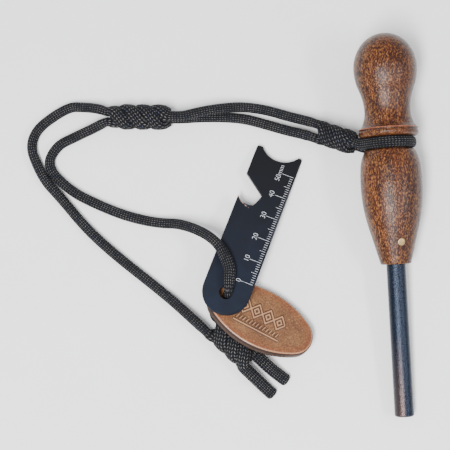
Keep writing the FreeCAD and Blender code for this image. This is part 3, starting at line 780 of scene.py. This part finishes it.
def makeRuler(material):
    ticks = treeToMesh(rulerTree(material), {
        "Marks": striker["marks"], "Spacing": 1.0, "Short": striker["short"], "Medium": striker["medium"],
        "Long": striker["long"], "Line": striker["line"], "Thickness": striker["print"], "Seed": 4})
    edge = -striker["width"] / 2 + striker["edgeGap"]
    strikerRide("ruler_ticks", ticks, Matrix.Translation((striker["zero"], edge, striker["print"] / 2)))
    for i, words in enumerate(("0", "10", "20", "30", "40", "50mm")):
        text = bpy.data.curves.new("digits", "FONT")
        text.body = words
        text.size = striker["digit"]
        text.align_x = "CENTER"
        text.extrude = striker["print"] / 2
        text.offset = striker["digitOffset"]
        holder = linkMesh("digits", text)
        mesh = evaluatedMesh(holder)
        bpy.data.objects.remove(holder)
        mesh.materials.clear()
        mesh.materials.append(material)
        shift = Matrix.Translation((striker["zero"] + 10.0 * i, striker["digitAcross"],
                                    striker["print"] / 2))
        strikerRide(f"ruler_number_{10 * i}", mesh, shift)


dress("striker_plate", makeCoating())
makeRuler(makePrint())
print("striker: coating and ruler made")


fob = {"centre": (-56.85, -40.2, 9.2), "lean": 22.0, "towards": 51.0, "yaw": -29.1,
       "length": 47.0, "width": 26.0, "thickness": 4.5, "endRadius": 8.8,
       "eye": 2.1, "eyeAlong": -16.2, "eyeAcross": 1.9,
       "rim": 0.8, "rimDrop": 0.62, "eyeRim": 0.8, "eyeDrop": 0.3, "bulge": 0.1,
       "fine": 0.3, "coarse": 0.9, "flatten": 0.9,  # mesh sizes, and the rows' spacing in them
       "rimSteps": 44, "eyeSteps": 48, "wallLevels": 5}
band = {"tile": 5.2, "tileHigh": 6.4, "middle": 1.6, "tiles": 2.1, "insideTile": 0.42,
        "line": 0.66, "raised": 0.22, "left": -12.5, "past": 3.0, "margin": 2.2,
        "stroke": 1.5, "strokesLow": -4.9, "strokesHigh": -2.9, "strokesFoot": -4.1,
        "strokesReach": 9.5, "slant": 0.35, "strokeShare": 0.9, "lineAcross": -6.0, "lineReach": 10.5}
lean = math.radians(fob["lean"])
towards = math.radians(fob["towards"])
fobUp = Vector((math.cos(towards) * math.sin(lean), math.sin(towards) * math.sin(lean),
                math.cos(lean)))
fobYaw = math.radians(fob["yaw"])
fobAlong = Vector((math.cos(fobYaw), math.sin(fobYaw), 0))
fobAlong = (fobAlong - fobUp * fobAlong.dot(fobUp)).normalized()
fobPlace = axesMatrix(at(*fob["centre"]), fobAlong, fobUp.cross(fobAlong), fobUp)
halfLong, halfWide, endRadius = fob["length"] / 2, fob["width"] / 2, fob["endRadius"]
endCentre = halfLong - endRadius
sideRadius = (endCentre ** 2 + halfWide ** 2 - endRadius ** 2) / (2 * (halfWide - endRadius))
joinAngle = math.atan2(sideRadius - halfWide, endCentre)


def rimInset(x, y):  # how far inside the oval's rim
    x, y = abs(x), abs(y)
    sideCentre = halfWide - sideRadius
    if endCentre * (y - sideCentre) + x * sideCentre < 0:
        return endRadius - math.hypot(x - endCentre, y)
    return sideRadius - math.hypot(x, y - sideCentre)


def ovalPoints(count):
    arcs = ((endCentre, 0.0, endRadius, -joinAngle, joinAngle),
            (0.0, halfWide - sideRadius, sideRadius, joinAngle, math.pi - joinAngle),
            (-endCentre, 0.0, endRadius, math.pi - joinAngle, math.pi + joinAngle),
            (0.0, sideRadius - halfWide, sideRadius, math.pi + joinAngle, 2 * math.pi - joinAngle))
    points = []
    for x, y, radius, first, last in arcs:
        for i in range(count):
            angle = first + (last - first) * i / count
            points.append((x + radius * math.cos(angle), y + radius * math.sin(angle)))
    return points


def lineAt(distance):  # a rounded raised line
    away = min(1.0, abs(distance) / band["line"])
    return (1 - away * away) ** 2


def embossed(x, y):  # a band of lozenges, with a row of small strokes below it
    tile, high = band["tile"], band["tileHigh"]
    if not band["left"] < x < 2 * tile + band["past"] or rimInset(x, y) < band["margin"]:
        return 0.0
    height = 0.0
    nearest = round((x - tile / 2) / tile) * tile + tile / 2
    spread = abs(x - nearest) / (tile / 2) + abs(y - band["middle"]) / (high / 2)
    if abs(nearest) < band["tiles"] * tile:
        height = max(lineAt((spread - 1.0) * 2.0), lineAt((spread - band["insideTile"]) * 2.0))
    stroke = round(x / band["stroke"]) * band["stroke"]
    if band["strokesLow"] < y < band["strokesHigh"] and abs(stroke) < band["strokesReach"]:
        slanted = x - stroke - (y - band["strokesFoot"]) * band["slant"]
        height = max(height, lineAt(slanted) * band["strokeShare"])
    if abs(x) < band["lineReach"]:
        height = max(height, lineAt(y - band["lineAcross"]))
    return height


def fobMesh():
    rimRing = ovalPoints(fob["rimSteps"])
    eyeX, eyeY, eye, eyeSteps = fob["eyeAlong"], fob["eyeAcross"], fob["eye"], fob["eyeSteps"]
    angles = [2 * math.pi * i / eyeSteps for i in range(eyeSteps)]
    eyeRing = [(eyeX + eye * math.cos(angle), eyeY + eye * math.sin(angle)) for angle in angles]
    edges = [(i, (i + 1) % len(rimRing)) for i in range(len(rimRing))]
    edges += [(len(rimRing) + i, len(rimRing) + (i + 1) % eyeSteps) for i in range(eyeSteps)]

    def cut(step):  # the oval with its eye, divided into triangles
        flat = [Vector(point) for point in rimRing + eyeRing]
        rows, columns = int(halfWide / step / fob["flatten"]), int(halfLong / step)
        for j in range(-rows, rows + 1):
            for i in range(-columns, columns + 1):
                x, y = (i + 0.5 * (j % 2)) * step, j * step * fob["flatten"]
                if rimInset(x, y) > 0.25 and math.hypot(x - eyeX, y - eyeY) > eye + 0.2:
                    flat.append(Vector((x, y)))
        verts, _, faces, _, _, _ = delaunay_2d_cdt(flat, edges, [], 1, 1e-5)
        return verts, faces

    made = bmesh.new()
    uvLayer = made.loops.layers.uv.new("flat")
    insetLayer = made.verts.layers.float.new("inset")
    raisedLayer = made.verts.layers.float.new("raised")
    wallLayer = made.verts.layers.float.new("wall")

    def skin(top, verts, faces):
        ring = []
        for x, y in verts:
            inset = max(0.0, rimInset(x, y))
            hole = max(0.0, math.hypot(x - eyeX, y - eyeY) - eye)
            drop = fob["rimDrop"] * min(1.0, max(0.0, 1 - inset / fob["rim"])) ** 1.1
            drop += fob["eyeDrop"] * max(0.0, 1 - hole / fob["eyeRim"]) ** 2
            height = embossed(x, y) if top else 0.0
            z = height * band["raised"] - drop if top else -fob["thickness"] + drop * 0.8
            vertex = made.verts.new((x, y, z))
            vertex[insetLayer] = inset
            vertex[raisedLayer] = height
            vertex[wallLayer] = 0.0 if inset > 0.05 and hole > 0.05 else 0.6
            ring.append(vertex)
        for face in faces:
            middle = sum((verts[i] for i in face), Vector((0, 0))) / len(face)
            if math.hypot(middle.x - eyeX, middle.y - eyeY) < eye * 0.98:
                continue
            corners = [ring[i] for i in face]
            made.faces.new(corners if top else corners[::-1])
        return ring

    verts, faces = cut(fob["fine"])
    top = skin(True, verts, faces)
    bottom = skin(False, *cut(fob["coarse"]))

    def wall(indices, middleX, middleY, bulge):
        levels = [top]
        for level in range(1, fob["wallLevels"]):
            row = {}
            share = level / fob["wallLevels"]
            for i in indices:
                x, y = verts[i]
                away = Vector((x - middleX(x), y - middleY(y), 0)).normalized()
                z = top[i].co.z + (bottom[i].co.z - top[i].co.z) * share
                vertex = made.verts.new(Vector((x, y, z)) + away * bulge * math.sin(math.pi * share))
                vertex[wallLayer] = 1.0 + share
                row[i] = vertex
            levels.append(row)
        levels.append(bottom)
        for upper, lower in zip(levels, levels[1:]):
            for a, b in zip(indices, indices[1:] + indices[:1]):
                made.faces.new((upper[a], lower[a], lower[b], upper[b]))

    outside = list(range(len(rimRing)))
    around = list(range(len(rimRing), len(rimRing) + eyeSteps))
    wall(outside, lambda x: x * 0.45, lambda y: 0.0, fob["bulge"])
    wall(around, lambda x: eyeX, lambda y: eyeY, -0.05)
    for face in made.faces:
        face.smooth = True
        for loop in face.loops:
            loop[uvLayer].uv = (loop.vert.co.x, loop.vert.co.y)
    loose = [vertex for vertex in made.verts if not vertex.link_faces]
    bmesh.ops.delete(made, geom=loose, context="VERTS")
    bmesh.ops.recalc_face_normals(made, faces=made.faces)
    mesh = toMesh(made, "leather_oval")
    mesh.transform(fobPlace)
    return mesh


# crest paints highlights on the embossed lines and the bevel, and lightens specks in the grain; valley
# paints shade beside the embossed lines
leather = {"light": tone(130, 91, 57), "middle": tone(113, 75, 46), "dark": tone(90, 56, 35),
           "warm": tone(124, 62, 32), "rim": tone(38, 18, 12), "speck": tone(66, 48, 36),
           "crest": tone(212, 164, 124), "valley": tone(42, 20, 12), "side": tone(58, 42, 33),
           "fibre": tone(80, 62, 50)}


def makeLeather():
    material, tree, shader = startMaterial("tanLeather")
    place = node(tree, "ShaderNodeTexCoord").outputs["Object"]
    inset = node(tree, "ShaderNodeAttribute", attribute_name="inset").outputs["Fac"]
    raised = node(tree, "ShaderNodeAttribute", attribute_name="raised").outputs["Fac"]
    wallShare = node(tree, "ShaderNodeAttribute", attribute_name="wall").outputs["Fac"]
    cloud = noise(tree, place, 120.0, 5.0, 0.6)
    pores = noise(tree, place, 1700.0, 4.0, 0.65)
    colour = ramp(tree, cloud, (0.3, leather["dark"]), (0.7, leather["light"]), (0.5, leather["middle"]))
    warmth = node(tree, "ShaderNodeMapRange", {"Value": inset, "From Min": 0.5, "From Max": 4.5,
                                               "To Min": 0.6, "To Max": 0.0}).outputs[0]
    colour = mixColour(tree, warmth, colour, leather["warm"])
    colour = mixColour(tree, ramp(tree, pores, (0.38, 0.6), (0.52, 0.0)), colour, leather["speck"])
    colour = mixColour(tree, ramp(tree, pores, (0.56, 0.0), (0.7, 0.28)), colour, leather["crest"])
    # painted shade beside the raised lines, painted highlight on their crests
    valley = ramp(tree, raised, (0.0, 0.0), (0.05, 0.85), (0.34, 0.8), (0.58, 0.0))
    colour = mixColour(tree, valley, colour, leather["valley"])
    colour = mixColour(tree, ramp(tree, raised, (0.62, 0.0), (0.95, 0.5)), colour, leather["crest"])
    # painted highlight along the bevel, which is also smoother
    facet = ramp(tree, inset, (0.3, 0.0), (0.42, 1.0), (0.7, 1.0), (0.85, 0.0))
    colour = mixColour(tree, calc(tree, "MULTIPLY", facet, 0.35), colour, leather["crest"])
    colour = mixColour(tree, ramp(tree, inset, (0.2, 1.0), (0.38, 0.0)), colour, leather["rim"])
    fibres = noise(tree, scaled(tree, place, 1.0, 1.0, 0.3), 2600.0, 3.0)
    side = ramp(tree, fibres, (0.35, leather["side"]), (0.65, leather["fibre"]))
    burnished = ramp(tree, calc(tree, "SUBTRACT", wallShare, 1.0), (0.2, 1.0), (0.45, 0.0),
                     (0.8, 0.0), (1.0, 0.7))
    side = mixColour(tree, burnished, side, leather["rim"])
    colour = mixColour(tree, ramp(tree, wallShare, (0.1, 0.0), (0.9, 1.0)), colour, side)
    tree.links.new(colour, shader.inputs["Base Color"])
    rough = calc(tree, "MULTIPLY_ADD", facet, -0.25, ramp(tree, pores, (0.3, 0.45), (0.7, 0.62)))
    tree.links.new(rough, shader.inputs["Roughness"])
    shader.inputs["Specular IOR Level"].default_value = 0.35
    bumped(tree, shader, calc(tree, "ADD", pores, cloud), 0.6, 0.00015)
    return material


fobPiece = linkMesh("leather_oval", fobMesh())
fobPiece.data.materials.append(makeLeather())
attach(fobPiece, "fob")
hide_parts("leather_fob")
print(f"fob: {len(fobPiece.data.polygons)} faces")


studio = {"sky": (0.93, 0.95, 1.0, 1), "skyStrength": 0.8,
          "keyPower": 12.0, "keyPlace": (-0.21, -0.27, 0.74), "keySize": (0.16, 0.42),
          "fillPower": 2.6, "fillPlace": (0.50, -0.16, 0.58), "fillSize": (0.10, 0.40),
          "aim": (-0.03, 0.0, 0.01), "floorHalf": 1.5,
          "floorDark": tone(244, 244, 243), "floorLight": tone(247, 247, 246)}  # lamps in metres


def makeFloor():
    made = bmesh.new()
    bmesh.ops.create_grid(made, x_segments=2, y_segments=2, size=studio["floorHalf"])
    mesh = toMesh(made, "floor")
    material, tree, shader = startMaterial("paleFloor")
    place = node(tree, "ShaderNodeTexCoord").outputs["Object"]
    tree.links.new(ramp(tree, noise(tree, place, 60.0, 3.0), (0.3, studio["floorDark"]),
                        (0.7, studio["floorLight"])), shader.inputs["Base Color"])
    shader.inputs["Roughness"].default_value = 0.85
    mesh.materials.append(material)
    floor = linkMesh("floor", mesh)


def addLamp(name, place, power, size):
    data = bpy.data.lights.new(name, "AREA")
    data.energy = power
    data.shape = "RECTANGLE"
    data.size, data.size_y = size
    lamp = bpy.data.objects.new(name, data)
    bpy.context.scene.collection.objects.link(lamp)
    back = (Vector(place) - Vector(studio["aim"])).normalized()
    up = (Vector((0, 1, 0)) - back * back.y).normalized()  # the long side runs along the handle
    turn = Matrix((up.cross(back), up, back)).transposed()
    lamp.matrix_world = Matrix.Translation(place) @ turn.to_4x4()


makeFloor()
addLamp("key", studio["keyPlace"], studio["keyPower"], studio["keySize"])
addLamp("fill", studio["fillPlace"], studio["fillPower"], studio["fillSize"])
world = bpy.data.worlds.new("studio")
world.use_nodes = True
world.node_tree.nodes["Background"].inputs[0].default_value = studio["sky"]
world.node_tree.nodes["Background"].inputs[1].default_value = studio["skyStrength"]
bpy.context.scene.world = world
print("floor and light set")
